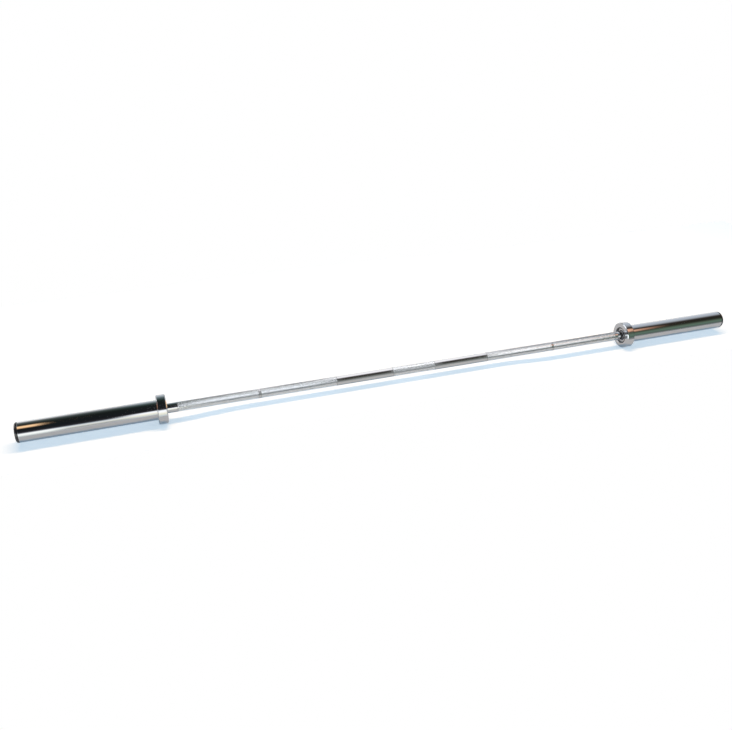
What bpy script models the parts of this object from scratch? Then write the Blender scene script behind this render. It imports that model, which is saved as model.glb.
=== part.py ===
# Barbell: a straight steel bar with a free-turning sleeve for weight plates on each end.
# It lies along X with both collars on the floor. The origin is on the floor under its middle.

import math

import bmesh
import bpy
from mathutils import Matrix

# Overall sizes in metres. A distance is measured outward along the bar from its middle.
BAR_LENGTH = 2.010
COLLAR_SPACING = 1.310
COLLAR_THICKNESS = 0.024
COLLAR_RADIUS = 0.037
COLLAR_CHAMFER = 0.0020
SLEEVE_RADIUS = 0.025
GAP = 0.0003
RUNNING_GAP = 0.0001
SIDES = 32

# Shaft. Its radii are set by how far each stretch lies below the knurl's points.
GRIP_RADIUS = 0.0125
PLAIN_DROP = 0.0001
MARK_DROP = 0.0003
SHOULDER_HEIGHT = 0.0004
CENTRE_KNURL_END = 0.0605
OUTER_KNURL_START = 0.2175
MARK_DISTANCE = 0.4225
MARK_WIDTH = 0.006
KNURL_TO_COLLAR = 0.0255
KNURL_RUNOUT = 0.0004
SHAFT_CHAMFER = 0.001
SHOULDER_INSIDE_COLLAR = 0.009
SHAFT_END_FROM_CAP = 0.020

# Needle bearings
BEARING_LENGTH = 0.020
SHELL_WALL = 0.0015
SHELL_LIP_HEIGHT = 0.0011
SHELL_LIP_THICKNESS = 0.0009
ROLLER_RADIUS = 0.00115
ROLLER_COUNT = 16
ROLLER_SIDES = 8
CAGE_WALL = 0.0007

# Sleeve tube
SPIGOT_WALL = 0.0030
SLEEVE_SEAT_DEPTH = 0.0015
SLEEVE_CHAMFER = 0.0006
THRUST_LAND = 0.0030
THRUST_THICKNESS = 0.0030
MIDDLE_BORE_CLEARANCE = 0.0020
END_WALL = 0.0050
END_BORE_DEPTH = 0.0225

# Recess in the collar's inner face, with its retaining ring, cover washer and dust seal
RECESS_STEP = 0.0014
RECESS_DEPTH = 0.0063
RECESS_EDGE = 0.0004
RING_DEPTH = 0.0018
RING_THICKNESS = 0.0014
RING_IN_GROOVE = 0.0006
RING_STAND_OUT = 0.0034
RING_EAR_LENGTH = 0.0022
COVER_THICKNESS = 0.0020
SEAL_LIP_WALL = 0.0032
SEAL_RIM_WALL = 0.0056
SEAL_RIM_THICKNESS = 0.0022
COVER_CLEARANCE = 0.0004

# Circlip that keeps the sleeve on the shaft
CIRCLIP_IN_GROOVE = 0.0010
CIRCLIP_THICKNESS = 0.0012
CIRCLIP_STAND_OUT = 0.0022
CIRCLIP_EAR_LENGTH = 0.0016

# Ears of the retaining ring and the circlip
EAR_GAP_ANGLE = math.radians(24)
EAR_ANGLE = math.radians(16)
EAR_HOLE_RADIUS = 0.0009

# End cap
CAP_HEAD = 0.0075
CAP_ROUNDING = 0.0032
CAP_PLUG_LENGTH = 0.010
CAP_PLUG_WALL = 0.0026
CAP_FACE_THICKNESS = 0.0040
CAP_RIB_HEIGHT = 0.0003
CAP_RIB_COUNT = 3

# Distances that follow from the sizes above
COLLAR_FACE = COLLAR_SPACING / 2
PLATE_FACE = COLLAR_FACE + COLLAR_THICKNESS
BAR_END = BAR_LENGTH / 2
SLEEVE_END = BAR_END - CAP_HEAD
SHAFT_END = BAR_END - SHAFT_END_FROM_CAP
OUTER_KNURL_END = COLLAR_FACE - KNURL_TO_COLLAR
RECESS_FLOOR = COLLAR_FACE + RECESS_DEPTH
RING_START = COLLAR_FACE + RING_DEPTH
COVER_START = RECESS_FLOOR - GAP - COVER_THICKNESS
SPIGOT_END = RECESS_FLOOR
SLEEVE_SEAT = PLATE_FACE - SLEEVE_SEAT_DEPTH
SHOULDER = COLLAR_FACE + SHOULDER_INSIDE_COLLAR
INNER_THRUST_START = SHOULDER + GAP
THRUST_SEAT = INNER_THRUST_START + THRUST_THICKNESS + GAP
INNER_BEARING_START = THRUST_SEAT + GAP
INNER_BEARING_END = INNER_BEARING_START + BEARING_LENGTH
END_BORE_FLOOR = SLEEVE_END - END_BORE_DEPTH
OUTER_BEARING_END = END_BORE_FLOOR - 2 * GAP
OUTER_BEARING_START = OUTER_BEARING_END - BEARING_LENGTH
OUTER_THRUST_START = END_BORE_FLOOR + GAP
CIRCLIP_START = OUTER_THRUST_START + THRUST_THICKNESS + 2 * GAP
AXIS_HEIGHT = COLLAR_RADIUS

# Radii that follow from the sizes above
PLAIN_RADIUS = GRIP_RADIUS - PLAIN_DROP
MARK_RADIUS = GRIP_RADIUS - MARK_DROP
JOURNAL_RADIUS = PLAIN_RADIUS - SHOULDER_HEIGHT
ROLLER_ORBIT = JOURNAL_RADIUS + RUNNING_GAP + ROLLER_RADIUS
SHELL_INSIDE = ROLLER_ORBIT + ROLLER_RADIUS + RUNNING_GAP
SHELL_LIP_RADIUS = SHELL_INSIDE - SHELL_LIP_HEIGHT
BEARING_RADIUS = SHELL_INSIDE + SHELL_WALL
BEARING_BORE = BEARING_RADIUS + GAP
MIDDLE_BORE_RADIUS = JOURNAL_RADIUS + MIDDLE_BORE_CLEARANCE
THRUST_SEAT_RADIUS = BEARING_RADIUS + THRUST_LAND
END_BORE_RADIUS = SLEEVE_RADIUS - END_WALL
SPIGOT_RADIUS = SLEEVE_RADIUS - SPIGOT_WALL
RECESS_RADIUS = SPIGOT_RADIUS + RECESS_STEP
RING_BACK_RADIUS = RECESS_RADIUS + RING_IN_GROOVE
RING_RIM_RADIUS = RECESS_RADIUS - RING_STAND_OUT
RING_EAR_RADIUS = RING_RIM_RADIUS - RING_EAR_LENGTH
SEAL_LIP_RADIUS = PLAIN_RADIUS + SEAL_LIP_WALL
SEAL_RIM_RADIUS = PLAIN_RADIUS + SEAL_RIM_WALL
COVER_BORE = SEAL_LIP_RADIUS + COVER_CLEARANCE
CIRCLIP_GROOVE_RADIUS = JOURNAL_RADIUS - CIRCLIP_IN_GROOVE
CIRCLIP_RIM_RADIUS = JOURNAL_RADIUS + CIRCLIP_STAND_OUT
CIRCLIP_EAR_RADIUS = CIRCLIP_RIM_RADIUS + CIRCLIP_EAR_LENGTH


def new_collection(name):
    collection = bpy.data.collections.new(name)
    bpy.context.scene.collection.children.link(collection)
    return collection


def new_material(name, colour, metallic, roughness):
    material = bpy.data.materials.new(name)
    material.use_nodes = True
    shader = material.node_tree.nodes["Principled BSDF"]
    shader.inputs["Base Color"].default_value = (*colour, 1.0)
    shader.inputs["Metallic"].default_value = metallic
    shader.inputs["Roughness"].default_value = roughness
    return material


def bored(radius):
    # A bore's flats, not its corners, lie at its radius, so a round piece of that radius fits it.
    return radius / math.cos(math.pi / SIDES)


def arc(radius, start, end, steps):
    points = []
    for step in range(steps + 1):
        angle = start + (end - start) * step / steps
        points.append((radius * math.cos(angle), radius * math.sin(angle)))
    return points


def baked_mesh(name, obj):
    # The object's shape with its modifiers applied, as a mesh that its copies can share
    bpy.context.scene.collection.objects.link(obj)
    evaluated = obj.evaluated_get(bpy.context.evaluated_depsgraph_get())
    mesh = bpy.data.meshes.new_from_object(evaluated)
    mesh.name = name
    bpy.data.objects.remove(obj)
    return mesh


def smooth(mesh):
    mesh.shade_smooth()
    mesh.set_sharp_from_angle(angle=math.radians(30))
    return mesh


def turned(name, profile, closed=True):
    # The profile is (radius, distance) points: down the outer side, then up the inner side.
    # Turned half a side from +X, the shape has a flat, not a corner, towards the floor.
    mesh = bpy.data.meshes.new(name)
    half_side = math.pi / SIDES
    points = []
    for radius, distance in profile:
        points.append((radius * math.cos(half_side), radius * math.sin(half_side), distance))
    edges = [(index, index + 1) for index in range(len(points) - 1)]
    if closed:
        edges.append((len(points) - 1, 0))
    mesh.from_pydata(points, edges, [])
    obj = bpy.data.objects.new(name, mesh)
    screw = obj.modifiers.new("turn", "SCREW")
    screw.axis = "Z"
    screw.angle = 2 * math.pi
    screw.steps = SIDES
    screw.render_steps = SIDES
    screw.use_merge_vertices = True
    screw.merge_threshold = 0.00001
    return smooth(baked_mesh(name, obj))


def ring_profile(inner_radius, outer_radius, start, end):
    return [(outer_radius, end), (outer_radius, start), (inner_radius, start), (inner_radius, end)]


def open_ring(name, back_radius, rim_radius, ear_radius, thickness, start):
    # A spring ring with a gap towards +Y and an ear with a hole on each side of it.
    # Its back sits in a groove, and its rim and ears stand out of that.
    first = EAR_GAP_ANGLE / 2
    last = 2 * math.pi - first
    outline = arc(back_radius, first, last, 30)
    outline += arc(ear_radius, last, last - EAR_ANGLE, 3)
    outline += arc(rim_radius, last - EAR_ANGLE, first + EAR_ANGLE, 26)
    outline += arc(ear_radius, first + EAR_ANGLE, first, 3)
    hole_orbit = (ear_radius + (back_radius + rim_radius) / 2) / 2
    outlines = [outline]
    for angle in (first + EAR_ANGLE / 2, last - EAR_ANGLE / 2):
        hole = arc(EAR_HOLE_RADIUS, 0.0, 2 * math.pi, 8)[:-1]
        centre = (hole_orbit * math.cos(angle), hole_orbit * math.sin(angle))
        outlines.append([(x + centre[0], y + centre[1]) for x, y in hole])

    curve = bpy.data.curves.new(name, "CURVE")
    curve.dimensions = "2D"
    curve.fill_mode = "BOTH"
    curve.extrude = thickness / 2
    for points in outlines:
        spline = curve.splines.new("POLY")
        spline.points.add(len(points) - 1)
        spline.use_cyclic_u = True
        for point, (x, y) in zip(spline.points, points):
            point.co = (x, y, 0.0, 1.0)
    mesh = baked_mesh(name, bpy.data.objects.new(name, curve))

    shape = bmesh.new()
    shape.from_mesh(mesh)
    bmesh.ops.remove_doubles(shape, verts=shape.verts, dist=0.00001)
    bmesh.ops.rotate(shape, verts=shape.verts, matrix=Matrix.Rotation(math.pi / 2, 3, "Z"))
    bmesh.ops.translate(shape, verts=shape.verts, vec=(0.0, 0.0, start + thickness / 2))
    bmesh.ops.recalc_face_normals(shape, faces=shape.faces)
    shape.to_mesh(mesh)
    shape.free()
    return smooth(mesh)


def orbit(index):
    angle = 2 * math.pi * index / ROLLER_COUNT
    return Matrix.Rotation(angle, 4, "Z") @ Matrix.Translation((ROLLER_ORBIT, 0.0, 0.0))


def shaft_mesh():
    half = [
        (CENTRE_KNURL_END, GRIP_RADIUS),
        (CENTRE_KNURL_END + KNURL_RUNOUT, PLAIN_RADIUS),
        (OUTER_KNURL_START - KNURL_RUNOUT, PLAIN_RADIUS),
        (OUTER_KNURL_START, GRIP_RADIUS),
        (MARK_DISTANCE - MARK_WIDTH / 2, GRIP_RADIUS),
        (MARK_DISTANCE - MARK_WIDTH / 2 + KNURL_RUNOUT, MARK_RADIUS),
        (MARK_DISTANCE + MARK_WIDTH / 2 - KNURL_RUNOUT, MARK_RADIUS),
        (MARK_DISTANCE + MARK_WIDTH / 2, GRIP_RADIUS),
        (OUTER_KNURL_END, GRIP_RADIUS),
        (OUTER_KNURL_END + KNURL_RUNOUT, PLAIN_RADIUS),
        (SHOULDER, PLAIN_RADIUS),
        (SHOULDER, JOURNAL_RADIUS),
        (CIRCLIP_START - GAP, JOURNAL_RADIUS),
        (CIRCLIP_START - GAP, CIRCLIP_GROOVE_RADIUS),
        (CIRCLIP_START + CIRCLIP_THICKNESS + GAP, CIRCLIP_GROOVE_RADIUS),
        (CIRCLIP_START + CIRCLIP_THICKNESS + GAP, JOURNAL_RADIUS),
        (SHAFT_END - SHAFT_CHAMFER, JOURNAL_RADIUS),
        (SHAFT_END, JOURNAL_RADIUS - SHAFT_CHAMFER),
        (SHAFT_END, 0.0),
    ]
    profile = [(radius, distance) for distance, radius in reversed(half)]
    profile += [(radius, -distance) for distance, radius in half]
    return turned("shaft", profile, closed=False)


def collar_mesh():
    rim = bored(COLLAR_RADIUS)
    rim_edge = bored(COLLAR_RADIUS - COLLAR_CHAMFER)
    recess = bored(RECESS_RADIUS)
    recess_mouth = bored(RECESS_RADIUS + RECESS_EDGE)
    groove = bored(RING_BACK_RADIUS + GAP)
    seat = bored(SPIGOT_RADIUS + GAP)
    mouth = bored(SLEEVE_RADIUS + GAP)
    profile = [
        (rim_edge, PLATE_FACE),
        (rim, PLATE_FACE - COLLAR_CHAMFER),
        (rim, COLLAR_FACE + COLLAR_CHAMFER),
        (rim_edge, COLLAR_FACE),
        (recess_mouth, COLLAR_FACE),
        (recess, COLLAR_FACE + RECESS_EDGE),
        (recess, RING_START - GAP),
        (groove, RING_START - GAP),
        (groove, RING_START + RING_THICKNESS + GAP),
        (recess, RING_START + RING_THICKNESS + GAP),
        (recess, RECESS_FLOOR),
        (seat, RECESS_FLOOR),
        (seat, SLEEVE_SEAT),
        (mouth, SLEEVE_SEAT),
        (mouth, PLATE_FACE),
    ]
    return turned("collar", profile)


def sleeve_mesh():
    bore = bored(BEARING_BORE)
    middle = bored(MIDDLE_BORE_RADIUS)
    profile = [
        (SLEEVE_RADIUS - SLEEVE_CHAMFER, SLEEVE_END),
        (SLEEVE_RADIUS, SLEEVE_END - SLEEVE_CHAMFER),
        (SLEEVE_RADIUS, SLEEVE_SEAT + GAP),
        (SPIGOT_RADIUS, SLEEVE_SEAT + GAP),
        (SPIGOT_RADIUS, SPIGOT_END),
        (bored(THRUST_SEAT_RADIUS), SPIGOT_END),
        (bored(THRUST_SEAT_RADIUS), THRUST_SEAT),
        (bore, THRUST_SEAT),
        (bore, INNER_BEARING_END + GAP),
        (middle, INNER_BEARING_END + GAP),
        (middle, OUTER_BEARING_START - GAP),
        (bore, OUTER_BEARING_START - GAP),
        (bore, END_BORE_FLOOR),
        (bored(END_BORE_RADIUS), END_BORE_FLOOR),
        (bored(END_BORE_RADIUS), SLEEVE_END),
    ]
    return turned("sleeve_tube", profile)


def cover_washer_mesh():
    profile = ring_profile(bored(COVER_BORE), RECESS_RADIUS - GAP, COVER_START, COVER_START + COVER_THICKNESS)
    return turned("cover_washer", profile)


def dust_seal_mesh():
    lip_start = COVER_START
    rim_start = COVER_START + COVER_THICKNESS + GAP
    rim_end = rim_start + SEAL_RIM_THICKNESS
    bore = bored(PLAIN_RADIUS + GAP)
    profile = [
        (SEAL_RIM_RADIUS, rim_end),
        (SEAL_RIM_RADIUS, rim_start),
        (SEAL_LIP_RADIUS, rim_start),
        (SEAL_LIP_RADIUS, lip_start),
        (bore, lip_start),
        (bore, rim_end),
    ]
    return turned("dust_seal", profile)


def thrust_washer_mesh(name, seat_radius, start):
    bore = bored(JOURNAL_RADIUS + RUNNING_GAP)
    return turned(name, ring_profile(bore, seat_radius - GAP, start, start + THRUST_THICKNESS))


def bearing_shell_mesh(name, start):
    end = start + BEARING_LENGTH
    inside = bored(SHELL_INSIDE)
    lip = bored(SHELL_LIP_RADIUS)
    profile = [
        (BEARING_RADIUS, end),
        (BEARING_RADIUS, start),
        (lip, start),
        (lip, start + SHELL_LIP_THICKNESS),
        (inside, start + SHELL_LIP_THICKNESS),
        (inside, end - SHELL_LIP_THICKNESS),
        (lip, end - SHELL_LIP_THICKNESS),
        (lip, end),
    ]
    return turned(name, profile)


def needle_cage_mesh(name, start):
    inside = bored(JOURNAL_RADIUS + GAP)
    outside = JOURNAL_RADIUS + GAP + CAGE_WALL
    return turned(name, ring_profile(inside, outside, start, start + BEARING_LENGTH))


def needles_mesh(name, start):
    # The rollers stand through the cage's wall, clear of the lips of the shell.
    length = BEARING_LENGTH - 2 * SHELL_LIP_THICKNESS - 2 * GAP
    shape = bmesh.new()
    for index in range(ROLLER_COUNT):
        place = Matrix.Translation((0.0, 0.0, start + BEARING_LENGTH / 2)) @ orbit(index)
        bmesh.ops.create_cone(
            shape,
            cap_ends=True,
            segments=ROLLER_SIDES,
            radius1=ROLLER_RADIUS,
            radius2=ROLLER_RADIUS,
            depth=length,
            matrix=place,
        )
    mesh = bpy.data.meshes.new(name)
    shape.to_mesh(mesh)
    shape.free()
    return smooth(mesh)


def end_cap_mesh():
    plug = END_BORE_RADIUS - GAP - CAP_RIB_HEIGHT
    head_start = SLEEVE_END + GAP
    plug_end = head_start - CAP_PLUG_LENGTH
    profile = [(0.0, BAR_END)]
    for radius, distance in arc(CAP_ROUNDING, math.pi / 2, 0.0, 5):
        profile.append((SLEEVE_RADIUS - CAP_ROUNDING + radius, BAR_END - CAP_ROUNDING + distance))
    profile.append((SLEEVE_RADIUS, head_start))
    profile.append((plug, head_start))
    rib_pitch = CAP_PLUG_LENGTH / (CAP_RIB_COUNT + 1)
    for rib in range(CAP_RIB_COUNT):
        top = head_start - (rib + 0.5) * rib_pitch
        profile.append((plug, top))
        profile.append((plug + CAP_RIB_HEIGHT, top))
        profile.append((plug, top - rib_pitch * 0.6))
    profile.append((plug, plug_end))
    profile.append((plug - CAP_PLUG_WALL, plug_end))
    profile.append((plug - CAP_PLUG_WALL, BAR_END - CAP_FACE_THICKNESS))
    profile.append((0.0, BAR_END - CAP_FACE_THICKNESS))
    return turned("end_cap", profile, closed=False)


def place(name, mesh, material, parent, collection):
    obj = bpy.data.objects.new(name, mesh)
    if material is not None:
        if not mesh.materials:
            mesh.materials.append(material)
    obj.parent = parent
    collection.objects.link(obj)
    return obj


def add_needles(cage, needles):
    needles.hide_render = True
    needles.display_type = "WIRE"
    boolean = cage.modifiers.new("needles", "BOOLEAN")
    boolean.operation = "UNION"
    boolean.solver = "EXACT"
    boolean.object = needles


for old in list(bpy.data.objects):
    bpy.data.objects.remove(old, do_unlink=True)

barbell = new_collection("barbell")
cutters = new_collection("cutters")

chrome = new_material("polished_chrome", (0.80, 0.81, 0.83), 1.0, 0.08)
grip_chrome = new_material("grip_chrome", (0.74, 0.75, 0.77), 1.0, 0.22)
bright_steel = new_material("bright_steel", (0.62, 0.63, 0.65), 1.0, 0.30)
dark_steel = new_material("phosphated_steel", (0.045, 0.045, 0.05), 0.6, 0.45)
bronze = new_material("bronze", (0.62, 0.40, 0.20), 1.0, 0.35)
black_rubber = new_material("black_rubber", (0.018, 0.018, 0.020), 0.0, 0.60)
black_plastic = new_material("black_plastic", (0.012, 0.012, 0.013), 0.0, 0.22)

shaft_axis = bpy.data.objects.new("shaft_axis", None)
shaft_axis.location = (0.0, 0.0, AXIS_HEIGHT)
shaft_axis.rotation_euler = (0.0, math.pi / 2, 0.0)
barbell.objects.link(shaft_axis)
place("shaft", shaft_mesh(), grip_chrome, shaft_axis, barbell)

sleeve_pieces = [
    ("collar", collar_mesh(), chrome),
    ("sleeve_tube", sleeve_mesh(), chrome),
    (
        "retaining_ring",
        open_ring(
            "retaining_ring",
            RING_BACK_RADIUS,
            RING_RIM_RADIUS,
            RING_EAR_RADIUS,
            RING_THICKNESS,
            RING_START,
        ),
        dark_steel,
    ),
    ("cover_washer", cover_washer_mesh(), bright_steel),
    ("dust_seal", dust_seal_mesh(), black_rubber),
    ("inner_thrust_washer", thrust_washer_mesh("inner_thrust", THRUST_SEAT_RADIUS, INNER_THRUST_START), bronze),
    ("inner_bearing_shell", bearing_shell_mesh("inner_shell", INNER_BEARING_START), bright_steel),
    ("outer_bearing_shell", bearing_shell_mesh("outer_shell", OUTER_BEARING_START), bright_steel),
    ("outer_thrust_washer", thrust_washer_mesh("outer_thrust", END_BORE_RADIUS, OUTER_THRUST_START), bronze),
    ("end_cap", end_cap_mesh(), black_plastic),
]
needle_cages = [
    ("inner_needle_cage", INNER_BEARING_START),
    ("outer_needle_cage", OUTER_BEARING_START),
]
needle_cages = [
    (name, needle_cage_mesh(name, start), needles_mesh(name + "_needles", start)) for name, start in needle_cages
]
circlip = open_ring(
    "shaft_circlip",
    CIRCLIP_GROOVE_RADIUS + GAP,
    CIRCLIP_RIM_RADIUS,
    CIRCLIP_EAR_RADIUS,
    CIRCLIP_THICKNESS,
    CIRCLIP_START,
)

# Every sleeve piece is drawn along +Z of its sleeve's axis, which points out along the bar.
for side, direction in (("left", -1), ("right", 1)):
    axis = bpy.data.objects.new(side + "_sleeve_axis", None)
    axis.location = (0.0, 0.0, AXIS_HEIGHT)
    axis.rotation_euler = (0.0, direction * math.pi / 2, 0.0)
    barbell.objects.link(axis)
    for name, mesh, material in sleeve_pieces:
        place(side + "_" + name, mesh, material, axis, barbell)
    for name, mesh, needles_only in needle_cages:
        cage = place(side + "_" + name, mesh, bright_steel, axis, barbell)
        needles = place(side + "_" + name + "_needles", needles_only, bright_steel, axis, cutters)
        add_needles(cage, needles)
    place(side + "_shaft_circlip", circlip, dark_steel, axis, barbell)
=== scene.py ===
import math

import bmesh
import bpy
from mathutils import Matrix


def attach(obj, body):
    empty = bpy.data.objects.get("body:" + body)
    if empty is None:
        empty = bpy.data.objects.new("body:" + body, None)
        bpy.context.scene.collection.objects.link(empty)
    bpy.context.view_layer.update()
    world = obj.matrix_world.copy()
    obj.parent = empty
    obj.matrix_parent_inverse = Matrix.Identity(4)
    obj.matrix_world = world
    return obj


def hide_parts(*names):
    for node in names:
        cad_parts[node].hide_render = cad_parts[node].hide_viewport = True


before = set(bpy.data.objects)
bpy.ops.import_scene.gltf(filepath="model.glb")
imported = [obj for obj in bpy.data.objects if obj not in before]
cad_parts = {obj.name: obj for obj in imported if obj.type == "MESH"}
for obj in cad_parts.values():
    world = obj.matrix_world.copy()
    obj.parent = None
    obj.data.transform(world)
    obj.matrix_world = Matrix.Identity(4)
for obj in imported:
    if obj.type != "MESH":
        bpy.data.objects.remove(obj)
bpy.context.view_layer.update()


# Shaft: one steel bar, ground to size and hard chromed, with a shoulder and a thinner journal
# inside each sleeve and a groove for a circlip near each end. The knurl is let into it below.
axis_height = 0.037
plain_radius = 0.0124
core_radius = 0.0118
mark_radius = 0.0122
journal_radius = 0.0120
circlip_groove_radius = 0.0110
circlip_groove = (0.9786, 0.9804)
shoulder = 0.664
shaft_end = 0.985
centre_knurl_end = 0.0605
outer_knurls = ((0.2175, 0.4195), (0.4255, 0.6295))
knurl_gap = 0.0003
mark_gap = 0.0002
narrow_edge = 0.0001
shoulder_edge = 0.0002
end_chamfer = 0.001
same_place = 0.000001


def start_piece():
    if bpy.context.object is not None and bpy.context.object.mode != "OBJECT":
        bpy.ops.object.mode_set(mode="OBJECT")
    bpy.ops.object.select_all(action="DESELECT")


def work_on(piece):
    start_piece()
    piece.select_set(True)
    bpy.context.view_layer.objects.active = piece


def name_piece(piece, name):
    piece.name = name
    piece.data.name = name
    return piece


def pick_vertices(piece, test):
    bpy.ops.mesh.select_mode(type="VERT")
    bpy.ops.mesh.select_all(action="DESELECT")
    shape = bmesh.from_edit_mesh(piece.data)
    for vertex in shape.verts:
        if test(vertex.co):
            vertex.select_set(True)
    shape.select_flush_mode()
    bmesh.update_edit_mesh(piece.data)


def turned(name, section, sides=128, sweep=2 * math.pi):
    # Draws the section, (distance along the bar, radius) points, and spins it round the bar's axis.
    # A section that starts and ends off the axis is closed to a ring.
    start_piece()
    distance, radius = section[0]
    bpy.ops.mesh.primitive_plane_add(size=0.001, location=(distance, 0.0, axis_height + radius))
    piece = name_piece(bpy.context.object, name)
    bpy.ops.object.transform_apply(location=True, rotation=True, scale=True)
    bpy.ops.object.mode_set(mode="EDIT")
    bpy.ops.mesh.select_mode(type="VERT")
    bpy.ops.mesh.select_all(action="SELECT")
    bpy.ops.mesh.merge(type="CENTER")
    for new_distance, new_radius in section[1:]:
        move = (new_distance - distance, 0.0, new_radius - radius)
        bpy.ops.mesh.extrude_vertices_move(TRANSFORM_OT_translate={"value": move})
        distance, radius = new_distance, new_radius
    if section[0][1] > 0.0:
        ends = (section[0], section[-1])
        pick_vertices(
            piece,
            lambda point: any(
                abs(point.x - end[0]) < same_place
                and abs(point.z - axis_height - end[1]) < same_place
                for end in ends
            ),
        )
        bpy.ops.mesh.edge_face_add()
    bpy.ops.mesh.select_mode(type="VERT")
    bpy.ops.mesh.select_all(action="SELECT")
    bpy.ops.mesh.spin(
        steps=sides, angle=sweep, center=(0.0, 0.0, axis_height), axis=(1.0, 0.0, 0.0)
    )
    bpy.ops.mesh.select_all(action="SELECT")
    bpy.ops.mesh.remove_doubles(threshold=same_place)
    bpy.ops.mesh.normals_make_consistent(inside=False)
    return piece


def finish_piece(piece, finish, angle=30):
    # The normals follow the broad faces, so that polished metal reflects without bending at its
    # rounded corners.
    work_on(piece)
    bpy.ops.object.shade_smooth_by_angle(angle=math.radians(angle))
    even = piece.modifiers.new("even", "WEIGHTED_NORMAL")
    even.keep_sharp = True
    bpy.ops.object.modifier_apply(modifier="even")
    piece.data.materials.clear()
    piece.data.materials.append(finish)


def new_finish(name, colour, metallic, roughness):
    finish = bpy.data.materials.new(name)
    finish.use_nodes = True
    shader = finish.node_tree.nodes["Principled BSDF"]
    shader.inputs["Base Color"].default_value = (*colour, 1.0)
    shader.inputs["Metallic"].default_value = metallic
    shader.inputs["Roughness"].default_value = roughness
    return finish


def add_node(tree, kind, values, settings=None):
    # A number or colour goes into the input, and a socket is linked to it
    node = tree.nodes.new(kind)
    for name, value in (settings or {}).items():
        setattr(node, name, value)
    for name, value in values.items():
        if isinstance(value, bpy.types.NodeSocket):
            tree.links.new(value, node.inputs[name])
        else:
            node.inputs[name].default_value = value
    return node


def on_axis(tree, stretch=(1.0, 1.0, 1.0)):
    # Coordinates of the piece, centred on the bar's axis and stretched
    place = add_node(tree, "ShaderNodeTexCoord", {})
    lowered = add_node(
        tree,
        "ShaderNodeMapping",
        {"Vector": place.outputs["Object"], "Location": (0.0, 0.0, -axis_height)},
    )
    return add_node(
        tree, "ShaderNodeMapping", {"Vector": lowered.outputs["Vector"], "Scale": stretch}
    ).outputs["Vector"]


def grain(tree, scale, detail, stretch=(1.0, 1.0, 1.0)):
    noise = add_node(
        tree,
        "ShaderNodeTexNoise",
        {"Vector": on_axis(tree, stretch), "Scale": scale, "Detail": detail, "Roughness": 0.6},
    )
    return noise.outputs["Fac"]


def spread(tree, value, low, high, to_low, to_high):
    result = add_node(
        tree,
        "ShaderNodeMapRange",
        {"Value": value, "From Min": low, "From Max": high, "To Min": to_low, "To Max": to_high},
    )
    return result.outputs["Result"]


def reckon(tree, operation, *values):
    node = add_node(tree, "ShaderNodeMath", dict(enumerate(values)), {"operation": operation})
    return node.outputs["Value"]


def total(tree, first, second):
    return reckon(tree, "ADD", first, second)


def set_finish(finish, colour=None, roughness=None, height=None, depth=0.0, strength=1.0):
    tree = finish.node_tree
    shader = tree.nodes["Principled BSDF"]
    if colour is not None:
        tree.links.new(colour, shader.inputs["Base Color"])
    if roughness is not None:
        tree.links.new(roughness, shader.inputs["Roughness"])
    if height is not None:
        bump = add_node(
            tree, "ShaderNodeBump", {"Height": height, "Distance": depth, "Strength": strength}
        )
        tree.links.new(bump.outputs["Normal"], shader.inputs["Normal"])


def polished_band(start, end, radius, gap):
    # The section of a plain stretch between two knurls, with a narrow bevel at each end
    return [
        (start + gap, core_radius),
        (start + gap, radius - narrow_edge),
        (start + gap + narrow_edge, radius),
        (end - gap - narrow_edge, radius),
        (end - gap, radius - narrow_edge),
        (end - gap, core_radius),
    ]


half = polished_band(centre_knurl_end, outer_knurls[0][0], plain_radius, knurl_gap)
half += polished_band(outer_knurls[0][1], outer_knurls[1][0], mark_radius, mark_gap)
half += polished_band(outer_knurls[1][1], shoulder, plain_radius, knurl_gap)[:3]
half += [
    (shoulder - shoulder_edge, plain_radius),
    (shoulder, plain_radius - shoulder_edge),
    (shoulder, journal_radius),
    (circlip_groove[0], journal_radius),
    (circlip_groove[0], circlip_groove_radius),
    (circlip_groove[1], circlip_groove_radius),
    (circlip_groove[1], journal_radius),
    (shaft_end - end_chamfer, journal_radius),
    (shaft_end, journal_radius - end_chamfer),
    (shaft_end, 0.0),
]
section = [(-distance, radius) for distance, radius in reversed(half)] + half
shaft = turned("shaft_bar", section, sides=96)

grip_chrome = new_finish("grip_chrome", (0.45, 0.455, 0.465), 1.0, 0.07)
tree = grip_chrome.node_tree
turning = grain(tree, 1.0, 2.0, (2600.0, 60.0, 60.0))
handling = grain(tree, 22.0, 3.0)
set_finish(
    grip_chrome,
    roughness=total(
        tree,
        spread(tree, turning, 0.3, 0.7, 0.03, 0.055),
        spread(tree, handling, 0.45, 0.75, 0.0, 0.03),
    ),
    height=turning,
    depth=0.000004,
    strength=0.3,
)
finish_piece(shaft, grip_chrome)
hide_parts("shaft")
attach(shaft, "shaft")


# Knurl: crossed helical grooves rolled into the bar under great pressure, which raise rows of
# small diamonds for the hands. The chrome follows every diamond and stays dull in the grooves,
# where its colour is also painted darker as shade.
knurl_root = 0.01230
diamond_height = 0.00020
diamond_slope = 0.00014
diamond_length = 0.00296
diamonds_round = 46
knurl_end_band = 0.0008


def from_axis(point):
    return math.hypot(point.y, point.z - axis_height)


def pick_edges(piece, test):
    # Selects the edges whose two ends pass the test
    bpy.ops.mesh.select_mode(type="EDGE")
    bpy.ops.mesh.select_all(action="DESELECT")
    shape = bmesh.from_edit_mesh(piece.data)
    for edge in shape.edges:
        if test(edge.verts[0].co, edge.verts[1].co):
            edge.select_set(True)
    bmesh.update_edit_mesh(piece.data)


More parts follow.
